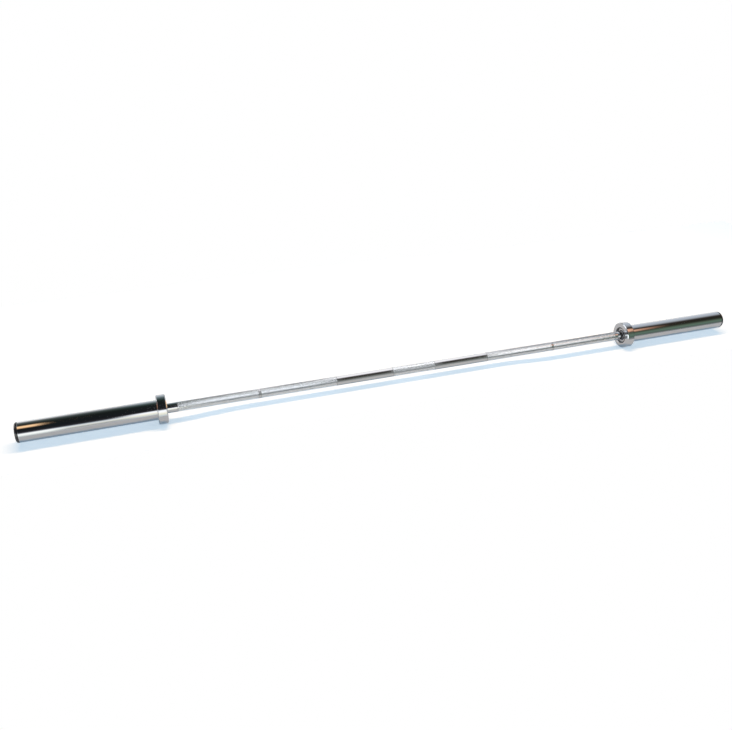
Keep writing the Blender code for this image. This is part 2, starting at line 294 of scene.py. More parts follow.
def pick_faces(piece, test):
    # Selects the faces whose middle and normal pass the test
    bpy.ops.mesh.select_mode(type="FACE")
    bpy.ops.mesh.select_all(action="DESELECT")
    shape = bmesh.from_edit_mesh(piece.data)
    for face in shape.faces:
        if test(face.calc_center_median(), face.normal):
            face.select_set(True)
    bmesh.update_edit_mesh(piece.data)


def lengthwise(a, b):
    return abs(a.x - b.x) > 0.001


def radius_on_axis(tree):
    parts = add_node(tree, "ShaderNodeSeparateXYZ", {"Vector": on_axis(tree)})
    flat = add_node(
        tree, "ShaderNodeCombineXYZ", {"Y": parts.outputs["Y"], "Z": parts.outputs["Z"]}
    )
    length = add_node(
        tree, "ShaderNodeVectorMath", {0: flat.outputs["Vector"]}, {"operation": "LENGTH"}
    )
    return length.outputs["Value"]


def tint(tree, share, first, second):
    ramp = add_node(tree, "ShaderNodeValToRGB", {"Fac": share})
    ramp.color_ramp.elements[0].color = (*first, 1.0)
    ramp.color_ramp.elements[1].color = (*second, 1.0)
    return ramp.outputs["Color"]


knurl_chrome = new_finish("knurl_chrome", (0.71, 0.73, 0.75), 0.95, 0.2)
tree = knurl_chrome.node_tree
standing = radius_on_axis(tree)
speckle = grain(tree, 900.0, 2.0)
set_finish(
    knurl_chrome,
    # Painted shade: the base colour runs from dark down in the grooves to bright on the diamond
    # tops
    colour=tint(
        tree,
        spread(tree, standing, 0.01228, 0.01247, 0.0, 1.0),
        (0.24, 0.243, 0.25),
        (0.71, 0.73, 0.75),
    ),
    roughness=total(
        tree,
        spread(tree, standing, 0.01220, 0.01248, 0.34, 0.125),
        spread(tree, speckle, 0.35, 0.70, 0.0, 0.045),
    ),
    height=speckle,
    depth=0.00001,
    strength=0.3,
)


def knurl(name, start, end):
    rows = round((end - start) / diamond_length)
    start_piece()
    bpy.ops.mesh.primitive_cylinder_add(
        vertices=diamonds_round,
        radius=knurl_root,
        depth=end - start,
        end_fill_type="NGON",
        location=((start + end) / 2, 0.0, axis_height),
        rotation=(0.0, math.pi / 2, 0.0),
    )
    piece = name_piece(bpy.context.object, name)
    bpy.ops.object.transform_apply(location=True, rotation=True, scale=True)
    bpy.ops.object.mode_set(mode="EDIT")
    pick_edges(piece, lengthwise)
    bpy.ops.mesh.subdivide(number_cuts=rows - 1)
    pick_faces(piece, lambda middle, normal: abs(normal.x) < 0.5)
    bpy.ops.mesh.poke()
    # The ring and lengthwise edges go, and what is left between the crossed ones is diamonds.
    on_corners = knurl_root * (1.0 + math.cos(math.pi / diamonds_round)) / 2
    inside_ends = 0.0001
    pick_edges(
        piece,
        lambda a, b: min(from_axis(a), from_axis(b)) > on_corners
        and start + inside_ends < (a.x + b.x) / 2 < end - inside_ends,
    )
    bpy.ops.mesh.dissolve_edges(use_verts=False)
    pick_faces(
        piece,
        lambda middle, normal: abs(normal.x) < 0.5
        and start + knurl_end_band < middle.x < end - knurl_end_band,
    )
    bpy.ops.mesh.inset(use_individual=True, thickness=diamond_slope, depth=diamond_height)
    bpy.ops.object.mode_set(mode="OBJECT")
    piece.data.materials.append(knurl_chrome)
    return piece


def other_side(piece, name):
    # A copy with its own mesh, turned over to the left half of the bar
    work_on(piece)
    bpy.ops.object.duplicate(linked=False)
    copy = name_piece(bpy.context.object, name)
    bpy.ops.transform.rotate(
        value=math.pi, orient_axis="Y", center_override=(0.0, 0.0, axis_height)
    )
    bpy.ops.object.transform_apply(location=True, rotation=True, scale=True)
    return copy


knurls = [knurl("knurl_centre", -centre_knurl_end, centre_knurl_end)]
for place, (start, end) in zip(("inner", "outer"), outer_knurls):
    right_knurl = knurl("knurl_right_" + place, start, end)
    knurls += [right_knurl, other_side(right_knurl, "knurl_left_" + place)]
for piece in knurls:
    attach(piece, "shaft")


# Needle bearings: two in each sleeve, each a drawn steel shell pressed into the sleeve's bore, with
# steel needles that run on the shaft's journal and a thin cage that keeps them apart.
bearing_length = 0.020
bearing_starts = {"inner": 0.6679, "outer": 0.9544}
shell_radius = 0.0160
shell_inside = 0.0145
shell_lip_radius = 0.0134
shell_lip = 0.0009
cage_inside = 0.0123
cage_outside = 0.0130
needle_radius = 0.00115
needle_orbit = 0.01325
needle_length = 0.0176
needle_count = 16
shell_rounding = 0.0006
cage_sides_per_needle = 6
cage_rows = 16
pocket_half_angle = 7.6
pocket_half_length = 0.0085
needle_rounding = 0.0003


def lathe_rings(tree, scale):
    # Fine rings round the bar's axis, as a lathe leaves them
    rings = add_node(
        tree,
        "ShaderNodeTexNoise",
        {"W": radius_on_axis(tree), "Scale": scale, "Detail": 2.0},
        {"noise_dimensions": "1D"},
    )
    return rings.outputs["Fac"]


bright_steel = new_finish("bright_steel", (0.51, 0.51, 0.52), 1.0, 0.4)
tree = bright_steel.node_tree
lathe_marks = lathe_rings(tree, 3500.0)
cloudy = grain(tree, 120.0, 3.0)
set_finish(
    bright_steel,
    colour=tint(
        tree,
        spread(tree, cloudy, 0.35, 0.70, 0.0, 1.0),
        (0.56, 0.56, 0.575),
        (0.46, 0.455, 0.465),
    ),
    roughness=spread(tree, lathe_marks, 0.3, 0.7, 0.32, 0.48),
    height=lathe_marks,
    depth=0.00001,
    strength=0.4,
)


def soften(piece, width, corners, segments=3):
    # Rounds the turned corners at these (distance, radius) points
    def on_corner(point):
        return any(
            abs(point.x - distance) < 2 * same_place
            and abs(from_axis(point) - radius) < 2 * same_place
            for distance, radius in corners
        )

    pick_edges(piece, lambda a, b: abs(a.x - b.x) < same_place and on_corner(a) and on_corner(b))
    bpy.ops.mesh.bevel(offset=width, segments=segments, affect="EDGES", offset_type="OFFSET")


def both_sides(piece, name):
    # The right piece and its left copy, with the side in their names
    name_piece(piece, "right_" + name)
    return {"right": piece, "left": other_side(piece, "left_" + name)}


def fit_to_sleeves(pieces, node=None):
    for side, piece in pieces.items():
        if node is not None:
            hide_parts(side + "_" + node)
        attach(piece, side + "_sleeve")


for place, start in bearing_starts.items():
    end = start + bearing_length
    shell = turned(
        "shell",
        [
            (end, shell_radius),
            (start, shell_radius),
            (start, shell_lip_radius),
            (start + shell_lip, shell_lip_radius),
            (start + shell_lip, shell_inside),
            (end - shell_lip, shell_inside),
            (end - shell_lip, shell_lip_radius),
            (end, shell_lip_radius),
        ],
        sides=96,
    )
    soften(shell, shell_rounding, [(start, shell_radius), (end, shell_radius)], segments=4)
    finish_piece(shell, bright_steel)
    fit_to_sleeves(
        both_sides(shell, place + "_bearing_shell_steel"), place + "_bearing_shell"
    )

    start_piece()
    bpy.ops.mesh.primitive_cylinder_add(
        vertices=needle_count * cage_sides_per_needle,
        radius=cage_outside,
        depth=bearing_length,
        end_fill_type="NOTHING",
        location=(start + bearing_length / 2, 0.0, axis_height),
        rotation=(0.0, math.pi / 2, 0.0),
    )
    cage = bpy.context.object
    bpy.ops.object.transform_apply(location=True, rotation=True, scale=True)
    bpy.ops.object.mode_set(mode="EDIT")
    pick_edges(cage, lengthwise)
    bpy.ops.mesh.subdivide(number_cuts=cage_rows - 1)

    def in_pocket(middle, normal):
        pitch = 360 / needle_count
        turn = math.degrees(math.atan2(middle.z - axis_height, middle.y)) % pitch
        from_needle = min(turn, pitch - turn)
        from_middle = abs(middle.x - start - bearing_length / 2)
        return from_needle < pocket_half_angle and from_middle < pocket_half_length

    pick_faces(cage, in_pocket)
    bpy.ops.mesh.delete(type="FACE")
    bpy.ops.object.mode_set(mode="OBJECT")
    wall = cage.modifiers.new("wall", "SOLIDIFY")
    wall.thickness = cage_outside - cage_inside
    wall.offset = -1.0
    work_on(cage)
    bpy.ops.object.modifier_apply(modifier="wall")
    finish_piece(cage, bright_steel)
    fit_to_sleeves(
        both_sides(cage, place + "_bearing_cage"), place + "_needle_cage"
    )

    start_piece()
    bpy.ops.mesh.primitive_cylinder_add(
        vertices=16,
        radius=needle_radius,
        depth=needle_length,
        end_fill_type="NGON",
        location=(start + bearing_length / 2, needle_orbit, axis_height),
        rotation=(0.0, math.pi / 2, 0.0),
    )
    needles = bpy.context.object
    bpy.ops.object.transform_apply(location=True, rotation=True, scale=True)
    bpy.ops.object.mode_set(mode="EDIT")
    pick_faces(needles, lambda middle, normal: abs(normal.x) > 0.9)
    bpy.ops.mesh.bevel(offset=needle_rounding, segments=2, affect="EDGES")
    bpy.ops.mesh.select_all(action="SELECT")
    for number in range(1, needle_count):
        bpy.ops.mesh.duplicate()
        bpy.ops.transform.rotate(
            value=2 * math.pi / needle_count,
            orient_axis="X",
            center_override=(0.0, 0.0, axis_height),
        )
    finish_piece(needles, bright_steel)
    fit_to_sleeves(both_sides(needles, place + "_bearing_needles"))


# Thrust washers: flat bronze rings that take the sleeve's push along the bar, one against the
# shaft's shoulder and one at the outer end, with oil grooves across their faces.
thrust_bore = 0.0121
thrust_washers = {"inner": (0.6643, 0.6673, 0.0187), "outer": (0.9753, 0.9783, 0.0197)}
oil_groove_count = 6
oil_groove_radius = 0.0009
oil_groove_rise = 0.0004
washer_rounding = 0.0003

bronze = new_finish("bronze", (0.62, 0.40, 0.20), 1.0, 0.35)
tree = bronze.node_tree
patches = grain(tree, 260.0, 4.0)
lathe_marks = lathe_rings(tree, 2600.0)
set_finish(
    bronze,
    colour=tint(
        tree,
        spread(tree, patches, 0.35, 0.70, 0.0, 1.0),
        (0.66, 0.43, 0.22),
        (0.46, 0.28, 0.14),
    ),
    roughness=spread(tree, lathe_marks, 0.3, 0.7, 0.26, 0.42),
    height=lathe_marks,
    depth=0.00001,
    strength=0.4,
)


def combine(piece, tool, operation):
    work_on(piece)
    change = piece.modifiers.new("change", "BOOLEAN")
    change.operation = operation
    change.solver = "EXACT"
    change.object = tool
    bpy.ops.object.modifier_apply(modifier="change")
    bpy.data.objects.remove(tool)


for place, (start, end, rim) in thrust_washers.items():
    washer = turned(
        "washer", [(end, rim), (start, rim), (start, thrust_bore), (end, thrust_bore)], sides=96
    )
    corners = [(distance, radius) for distance in (start, end) for radius in (rim, thrust_bore)]
    soften(washer, washer_rounding, corners, segments=2)
    for number in range(oil_groove_count // 2):
        for face, outward in ((start, -1.0), (end, 1.0)):
            start_piece()
            bpy.ops.mesh.primitive_cylinder_add(
                vertices=16,
                radius=oil_groove_radius,
                depth=3 * rim,
                location=(face + outward * oil_groove_rise, 0.0, axis_height),
                rotation=(number * 2 * math.pi / oil_groove_count, 0.0, 0.0),
            )
            combine(washer, bpy.context.object, "DIFFERENCE")
    finish_piece(washer, bronze)
    fit_to_sleeves(
        both_sides(washer, place + "_thrust_washer_bronze"), place + "_thrust_washer"
    )


# Sleeve tubes: thick steel tube, bored for the bearings, turned, polished and hard chromed. A
# spigot at the inner end is pressed into the collar, whose bore its shoulder sits in.
plate_face = 0.679
sleeve_end = 0.9975
sleeve_radius = 0.025
spigot_radius = 0.022
sleeve_seat = plate_face - 0.0012
recess_floor = 0.6613
thrust_seat = 0.6676
thrust_seat_radius = 0.0190
bearing_bore = 0.0163
middle_bore = 0.0140
inner_bore_end = 0.6882
outer_bore_start = 0.9541
end_bore_floor = 0.975
end_bore_radius = 0.020
sleeve_rounding = 0.0006
seat_rounding = 0.0004

polished_chrome = new_finish("polished_chrome", (0.44, 0.445, 0.46), 1.0, 0.05)
tree = polished_chrome.node_tree
polish = grain(tree, 1.0, 3.0, (1800.0, 30.0, 30.0))
smears = grain(tree, 14.0, 4.0, (1.0, 2.0, 2.0))
set_finish(
    polished_chrome,
    roughness=total(
        tree,
        spread(tree, polish, 0.35, 0.75, 0.025, 0.055),
        spread(tree, smears, 0.50, 0.80, 0.0, 0.05),
    ),
    height=polish,
    depth=0.000003,
    strength=0.25,
)

sleeve = turned(
    "sleeve",
    [
        (sleeve_end, sleeve_radius),
        (sleeve_seat, sleeve_radius),
        (sleeve_seat, spigot_radius),
        (recess_floor, spigot_radius),
        (recess_floor, thrust_seat_radius),
        (thrust_seat, thrust_seat_radius),
        (thrust_seat, bearing_bore),
        (inner_bore_end, bearing_bore),
        (inner_bore_end, middle_bore),
        (outer_bore_start, middle_bore),
        (outer_bore_start, bearing_bore),
        (end_bore_floor, bearing_bore),
        (end_bore_floor, end_bore_radius),
        (sleeve_end, end_bore_radius),
    ],
)
soften(sleeve, sleeve_rounding, [(sleeve_end, sleeve_radius), (sleeve_end, end_bore_radius)])
seat_corners = [(recess_floor, spigot_radius), (thrust_seat, bearing_bore)]
soften(sleeve, seat_rounding, seat_corners, segments=2)
finish_piece(sleeve, polished_chrome)
fit_to_sleeves(both_sides(sleeve, "sleeve"), "sleeve_tube")


# Collars: thick steel rings, turned, bevelled on both rims and chromed, that stop the plates. The
# inner face has a recess for the seal and the cover, with a groove for the retaining ring.
collar_face = 0.655
collar_radius = 0.037
collar_chamfer = 0.0020
recess_radius = 0.0234
ring_groove = (0.6565, 0.6585)
ring_groove_radius = 0.0243
collar_mouth = 0.0253
recess_edge = 0.0004
seat_gap = 0.0003
collar_rounding = 0.0003
collar_rims = [
    (plate_face, collar_radius - collar_chamfer),
    (plate_face - collar_chamfer, collar_radius),
    (collar_face + collar_chamfer, collar_radius),
    (collar_face, collar_radius - collar_chamfer),
]

collar = turned(
    "collar",
    collar_rims
    + [
        (collar_face, recess_radius + recess_edge),
        (collar_face + recess_edge, recess_radius),
        (ring_groove[0], recess_radius),
        (ring_groove[0], ring_groove_radius),
        (ring_groove[1], ring_groove_radius),
        (ring_groove[1], recess_radius),
        (recess_floor, recess_radius),
        (recess_floor, spigot_radius + seat_gap),
        (sleeve_seat - seat_gap, spigot_radius + seat_gap),
        (sleeve_seat - seat_gap, collar_mouth),
        (plate_face, collar_mouth),
    ],
    sides=160,
)
soften(collar, collar_rounding, collar_rims, segments=2)
finish_piece(collar, polished_chrome, angle=20)
fit_to_sleeves(both_sides(collar, "collar_ring"), "collar")


# Dust seals: moulded rubber rings behind the cover, whose lip runs close round the shaft and keeps
# grit out of the bearing.
seal_start = 0.6590
seal_rim_start = 0.6613
seal_end = 0.6635
seal_bore = 0.0127
seal_lip_radius = 0.0144
seal_rim_radius = 0.0180
seal_groove_radii = (0.0141, 0.0139, 0.0133, 0.0130)
seal_groove_depth = 0.0006
seal_throat = 0.0132
seal_front_lip = 0.0010
seal_front_relief = 0.0016
seal_back_lip = 0.0008
seal_rounding = 0.0003

black_rubber = new_finish("black_rubber", (0.12, 0.117, 0.122), 0.0, 0.5)
tree = black_rubber.node_tree
dust = grain(tree, 350.0, 4.0)
skin = grain(tree, 2500.0, 2.0)
set_finish(
    black_rubber,
    colour=tint(
        tree,
        spread(tree, dust, 0.45, 0.80, 0.0, 1.0),
        (0.100, 0.097, 0.103),
        (0.170, 0.167, 0.171),
    ),
    roughness=spread(tree, dust, 0.3, 0.7, 0.40, 0.6),
    height=skin,
    depth=0.00002,
    strength=0.4,
)
seal = turned(
    "seal",
    [
        (seal_end, seal_rim_radius),
        (seal_rim_start, seal_rim_radius),
        (seal_rim_start, seal_lip_radius),
        (seal_start, seal_lip_radius),
        (seal_start, seal_groove_radii[0]),
        (seal_start + seal_groove_depth, seal_groove_radii[1]),
        (seal_start + seal_groove_depth, seal_groove_radii[2]),
        (seal_start, seal_groove_radii[3]),
        (seal_start, seal_bore),
        (seal_start + seal_front_lip, seal_bore),
        (seal_start + seal_front_relief, seal_throat),
        (seal_end - seal_back_lip, seal_throat),
        (seal_end, seal_bore),
    ],
    sides=96,
)
seal_corners = [(seal_start, seal_lip_radius), (seal_end, seal_rim_radius)]
soften(seal, seal_rounding, seal_corners, segments=2)
finish_piece(seal, black_rubber)
fit_to_sleeves(both_sides(seal, "dust_seal_rubber"), "dust_seal")


# Cover washers: turned steel rings that hold the seal down in the recess and show as the pale ring
# round the shaft.
cover_start = 0.6590
cover_end = 0.6610
cover_bore = 0.0147
cover_rim = 0.0231
cover_groove_radii = (0.0198, 0.0195, 0.0190, 0.0187)
cover_groove_depth = 0.0003
cover_rounding = 0.0003

cover = turned(
    "cover",
    [
        (cover_end, cover_rim),
        (cover_start, cover_rim),
        (cover_start, cover_groove_radii[0]),
        (cover_start + cover_groove_depth, cover_groove_radii[1]),
        (cover_start + cover_groove_depth, cover_groove_radii[2]),
        (cover_start, cover_groove_radii[3]),
        (cover_start, cover_bore),
        (cover_end, cover_bore),
    ],
)
cover_corners = [(cover_start, cover_rim), (cover_start, cover_bore), (cover_end, cover_bore)]
soften(cover, cover_rounding, cover_corners)
finish_piece(cover, bright_steel)
fit_to_sleeves(both_sides(cover, "cover_washer_steel"), "cover_washer")


# Retaining rings and circlips: blanked from spring steel and phosphated black, open on one side,
# with an ear and a plier hole at each end. The large one snaps into the collar's groove and holds
# the cover, and the small one sits in the shaft's groove and holds the sleeve on.

# Start, thickness, and the radii of the seat, the rim and the ears
retaining_ring = (0.6568, 0.0014, 0.0240, 0.0200, 0.0178)
circlip = (0.9789, 0.0012, 0.0113, 0.0142, 0.0158)
ring_gap = math.radians(24)
ring_widening = 0.15
ring_edge = 0.0001
ear_angle = math.radians(16)
plier_hole_radius = 0.0008

phosphated_steel = new_finish("phosphated_steel", (0.12, 0.118, 0.122), 0.5, 0.45)
tree = phosphated_steel.node_tree
crystals = grain(tree, 1800.0, 3.0)
set_finish(
    phosphated_steel,
    colour=tint(
        tree,
        spread(tree, crystals, 0.35, 0.70, 0.0, 1.0),
        (0.090, 0.088, 0.094),
        (0.160, 0.157, 0.158),
    ),
    roughness=spread(tree, crystals, 0.3, 0.7, 0.38, 0.58),
    height=crystals,
    depth=0.00002,
    strength=0.5,
)


def disc(start, thickness, radius, orbit, angle):
    # A round disc across the bar, this far from its axis and at this angle from +Y
    start_piece()
    bpy.ops.mesh.primitive_cylinder_add(
        vertices=24,
        radius=radius,
        depth=thickness,
        location=(
            start + thickness / 2,
            orbit * math.cos(angle),
            axis_height + orbit * math.sin(angle),
        ),
        rotation=(0.0, math.pi / 2, 0.0),
    )
    return bpy.context.object


def spring_ring(start, thickness, seat_radius, rim_radius, ear_radius):
    # A strip spun from one side of the gap to the other, widest opposite the gap
    end = start + thickness
    ring = turned(
        "ring",
        [(end, seat_radius), (start, seat_radius), (start, rim_radius), (end, rim_radius)],
        sides=72,
        sweep=2 * math.pi - ring_gap,
    )
    bpy.ops.mesh.fill_holes(sides=4)
    bpy.ops.transform.rotate(
        value=(math.pi + ring_gap) / 2, orient_axis="X", center_override=(0.0, 0.0, axis_height)
    )
    bpy.ops.mesh.normals_make_consistent(inside=False)
    pick_vertices(ring, lambda point: abs(from_axis(point) - rim_radius) < 0.00001)
    widening = ring_widening * abs(seat_radius - rim_radius)
    bpy.ops.transform.translate(value=(0.0, widening, 0.0))
    bpy.ops.object.mode_set(mode="OBJECT")
    orbit = (2 * ear_radius + seat_radius + rim_radius) / 4
    for angle in (ring_gap / 2 + ear_angle / 2, -ring_gap / 2 - ear_angle / 2):
        ear = disc(start, thickness, abs(orbit - ear_radius), orbit, angle)
        combine(ring, ear, "UNION")
        hole = disc(start - thickness, 3 * thickness, plier_hole_radius, orbit, angle)
        combine(ring, hole, "DIFFERENCE")
    work_on(ring)
    edges = ring.modifiers.new("edges", "BEVEL")
    edges.width = ring_edge
    edges.segments = 2
    edges.limit_method = "ANGLE"
    edges.angle_limit = math.radians(50)
    bpy.ops.object.modifier_apply(modifier="edges")
    finish_piece(ring, phosphated_steel)
    return ring


fit_to_sleeves(
    both_sides(spring_ring(*retaining_ring), "retaining_ring_steel"),
    "retaining_ring",
)
for side, piece in both_sides(spring_ring(*circlip), "circlip_steel").items():
    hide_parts(side + "_shaft_circlip")
    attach(piece, "shaft")


# End caps: black plastic moulded in one piece, with a ribbed plug that is pushed into the sleeve's
# end bore and a rounded, slightly dished head that shows.
cap_head_start = 0.9978
cap_end = 1.005
cap_radius = 0.025
cap_rounding = 0.0055
cap_plug_end = 0.9878
cap_plug_radius = 0.0194
cap_plug_wall = 0.0026
cap_floor = 1.001
cap_dish_radii = (0.0150, 0.0190)
cap_dish_depth = 0.0005
cap_back_rounding = 0.0002
rib_count = 3
rib_height = 0.0003
rib_share = 0.6

black_plastic = new_finish("black_plastic", (0.012, 0.012, 0.013), 0.0, 0.15)
tree = black_plastic.node_tree
scuffs = grain(tree, 160.0, 5.0)
moulding = grain(tree, 700.0, 2.0)
set_finish(
    black_plastic,
    colour=tint(
        tree,
        spread(tree, scuffs, 0.45, 0.80, 0.0, 1.0),
        (0.010, 0.010, 0.011),
        (0.022, 0.022, 0.023),
    ),
    roughness=spread(tree, scuffs, 0.35, 0.75, 0.09, 0.24),
    height=moulding,
    depth=0.00002,
    strength=0.25,
)
rib_pitch = (cap_head_start - cap_plug_end) / (rib_count + 1)
ribs = []
for number in range(rib_count):
    top = cap_head_start - (number + 0.5) * rib_pitch
    ribs += [
        (top, cap_plug_radius),
        (top, cap_plug_radius + rib_height),
        (top - rib_share * rib_pitch, cap_plug_radius),
    ]
cap = turned(
    "cap",
    [
        (cap_end - cap_dish_depth, 0.0),
        (cap_end - cap_dish_depth, cap_dish_radii[0]),
        (cap_end, cap_dish_radii[1]),
        (cap_end, cap_radius),
        (cap_head_start, cap_radius),
        (cap_head_start, cap_plug_radius),
    ]
    + ribs
    + [
        (cap_plug_end, cap_plug_radius),
        (cap_plug_end, cap_plug_radius - cap_plug_wall),
        (cap_floor, cap_plug_radius - cap_plug_wall),
        (cap_floor, 0.0),
    ],
)
soften(cap, cap_rounding, [(cap_end, cap_radius)], segments=8)
soften(cap, cap_back_rounding, [(cap_head_start, cap_radius)], segments=2)
finish_piece(cap, black_plastic, angle=35)
fit_to_sleeves(both_sides(cap, "end_cap_plastic"), "end_cap")


# Floor: a plain white sheet that keeps the soft shadow of the bar, and that swells a little under
# the shaft, as in the photograph. It ends a little way in front of the bar, where the background is
# as white as the sheet, so the metal shows the room below too.
floor_length = 3.4
floor_width = 1.015
floor_middle = 0.1
floor_front = -0.115
floor_top = -0.0001
floor_rows = 170
swell_ends = (-0.46, 0.28)
swell_height = 0.0072
swell_shoulder = 0.20

start_piece()
bpy.ops.mesh.primitive_plane_add(size=1.0)
floor = name_piece(bpy.context.object, "floor")
bpy.ops.object.mode_set(mode="EDIT")
bpy.ops.transform.resize(value=(floor_length, floor_width, 1.0))
bpy.ops.transform.translate(value=(floor_middle, floor_width / 2 + floor_front, floor_top))
pick_edges(floor, lambda a, b: abs(a.x - b.x) > 1.0)
bpy.ops.mesh.subdivide(number_cuts=floor_rows - 1)
pick_vertices(floor, lambda point: swell_ends[0] < point.x < swell_ends[1])
bpy.ops.transform.translate(
    value=(0.0, 0.0, swell_height),
    use_proportional_edit=True,
    proportional_edit_falloff="SMOOTH",
    proportional_size=swell_shoulder,
)
bpy.ops.object.mode_set(mode="OBJECT")
bpy.ops.object.shade_smooth()


def mixed(tree, share, first, second, blend="MIX"):
    # Two colours or colour sockets mixed in this share, or multiplied
    node = add_node(tree, "ShaderNodeMix", {}, {"data_type": "RGBA", "blend_type": blend})
    for index, value in ((0, share), (6, first), (7, second)):
        if isinstance(value, bpy.types.NodeSocket):
            tree.links.new(value, node.inputs[index])
        else:
            node.inputs[index].default_value = value
    return node.outputs[2]


white_floor = new_finish("white_floor", (0.93, 0.93, 0.93), 0.0, 0.9)
tree = white_floor.node_tree
shader = tree.nodes["Principled BSDF"]
shader.inputs["Specular IOR Level"].default_value = 0.0
ray = add_node(tree, "ShaderNodeLightPath", {})
mirrored = total(tree, ray.outputs["Is Glossy Ray"], ray.outputs["Is Transmission Ray"])
glow = mixed(tree, mirrored, (0.71, 0.845, 0.965, 1.0), (0.555, 0.78, 1.0, 1.0))
tree.links.new(glow, shader.inputs["Emission Color"])
seen = total(tree, ray.outputs["Is Camera Ray"], spread(tree, mirrored, 0.0, 1.0, 0.0, 0.66))
tree.links.new(spread(tree, seen, 0.0, 1.0, 0.0, 0.53), shader.inputs["Emission Strength"])
floor.data.materials.append(white_floor)


# Light: a broad warm lamp high above, cool light from all round, and a white background. The
# polished metal shows a room that is pale behind the bar, dark above it, and on the camera's side
# bright to the left and green to the right, with a warm lamp on each side.
lamp_data = bpy.data.lights.new("lamp", "AREA")
lamp_data.shape = "RECTANGLE"
lamp_data.size = 3.4
lamp_data.size_y = 0.6
lamp_data.color = (1.0, 0.67, 0.38)
lamp_data.energy = 64.0
lamp = bpy.data.objects.new("lamp", lamp_data)
bpy.context.scene.collection.objects.link(lamp)
lamp.location = (0.1, 0.32, 3.0)
lamp.rotation_euler = (math.radians(-6), 0.0, 0.0)
lamp.visible_glossy = False

world = bpy.data.worlds.new("studio")
bpy.context.scene.world = world
world.use_nodes = True
tree = world.node_tree
background = tree.nodes["Background"]


def times(first, second):
    return reckon(tree, "MULTIPLY", first, second)


# The turn of a direction round the bar: 0 towards the camera, 90 up, 180 away from the camera.
direction = add_node(
    tree,
    "ShaderNodeSeparateXYZ",
    {"Vector": add_node(tree, "ShaderNodeTexCoord", {}).outputs["Generated"]},
)
towards_camera = times(direction.outputs["Y"], -1.0)
radians = reckon(tree, "ARCTAN2", direction.outputs["Z"], towards_camera)
turn = times(radians, 180.0 / math.pi)
sideways = direction.outputs["X"]
lowest_turn = -30.0
highest_turn = 180.0
brightest = 3.0


def stored(colour):
    # The ramps hold the room's colours as shares of the brightest one
    return (*(channel / brightest for channel in colour), 1.0)


def room(stops):
    # The room's brightness round the bar, as (turn, colour) stops
    share = spread(tree, turn, lowest_turn, highest_turn, 0.0, 1.0)
    ramp = add_node(tree, "ShaderNodeValToRGB", {"Fac": share})
    elements = ramp.color_ramp.elements
    while len(elements) < len(stops):
        elements.new(0.5)
    for element, (at, colour) in zip(elements, stops):
        element.position = (at - lowest_turn) / (highest_turn - lowest_turn)
        element.color = stored(colour)
    return ramp.outputs["Color"]


def smooth(value, low, high):
    node = add_node(
        tree,
        "ShaderNodeMapRange",
        {"Value": value, "From Min": low, "From Max": high},
        {"interpolation_type": "SMOOTHSTEP"},
    )
    return node.outputs["Result"]


# The room as it shows from place to place along the bar, from far on the left to the right. The
# long knurls and the centre knurl show bright lamps in front of them on their flat diamond tops.
far_room = room(
    [
        (-30.0, (0.70, 0.70, 0.72)),
        (-12.0, (0.35, 0.36, 0.38)),
        (64.0, (0.35, 0.36, 0.38)),
        (84.0, (0.70, 0.73, 0.78)),
        (98.0, (2.4, 2.5, 2.6)),
        (140.0, (2.4, 2.5, 2.6)),
        (160.0, (1.2, 1.2, 1.2)),
        (180.0, (1.35, 1.35, 1.35)),
    ]
)
end_room = room(
    [
        (-30.0, (1.05, 1.08, 1.1)),
        (-18.0, (1.35, 1.46, 1.38)),
        (-8.0, (1.9, 1.95, 1.9)),
        (-4.0, (2.2, 2.25, 2.15)),
        (6.0, (2.1, 2.15, 2.1)),
        (14.5, (0.46, 0.46, 0.52)),
        (22.0, (0.05, 0.05, 0.055)),
        (40.0, (0.020, 0.024, 0.028)),
        (96.0, (0.020, 0.026, 0.024)),
        (112.0, (0.055, 0.065, 0.058)),
        (130.0, (0.13, 0.155, 0.145)),
        (144.0, (0.38, 0.42, 0.41)),
        (157.0, (0.98, 1.0, 1.0)),
        (172.0, (1.70, 1.70, 1.72)),
        (180.0, (1.90, 1.90, 1.92)),
    ]
)
left_room = room(
    [
        (-30.0, (0.88, 0.90, 0.94)),
        (-18.0, (0.84, 0.88, 0.86)),
        (-9.0, (1.15, 1.14, 1.02)),
        (-4.0, (1.55, 1.56, 1.42)),
        (5.0, (1.50, 1.58, 1.58)),
        (13.0, (0.40, 0.44, 0.50)),
        (20.0, (0.05, 0.05, 0.055)),
        (40.0, (0.020, 0.022, 0.026)),
        (96.0, (0.020, 0.026, 0.024)),
        (112.0, (0.055, 0.068, 0.062)),
        (128.0, (0.12, 0.15, 0.145)),
        (142.0, (0.36, 0.39, 0.39)),
        (157.0, (0.88, 0.90, 0.92)),
        (172.0, (1.35, 1.36, 1.38)),
        (180.0, (1.60, 1.60, 1.62)),
    ]
)
near_room = room(
    [
        (-30.0, (0.92, 0.96, 1.02)),
        (-18.0, (1.32, 1.42, 1.40)),
        (-8.0, (1.75, 1.72, 1.42)),
        (0.0, (2.0, 1.94, 1.66)),
        (10.0, (2.2, 2.2, 2.15)),
        (19.5, (2.1, 2.15, 2.2)),
        (25.0, (0.42, 0.42, 0.48)),
        (30.0, (0.05, 0.05, 0.055)),
        (44.0, (0.022, 0.024, 0.028)),
        (96.0, (0.022, 0.030, 0.029)),
        (110.0, (0.045, 0.075, 0.068)),
        (128.0, (0.18, 0.24, 0.25)),
        (142.0, (0.48, 0.58, 0.60)),
        (158.0, (0.85, 0.94, 1.0)),
        (180.0, (1.32, 1.36, 1.42)),
    ]
)
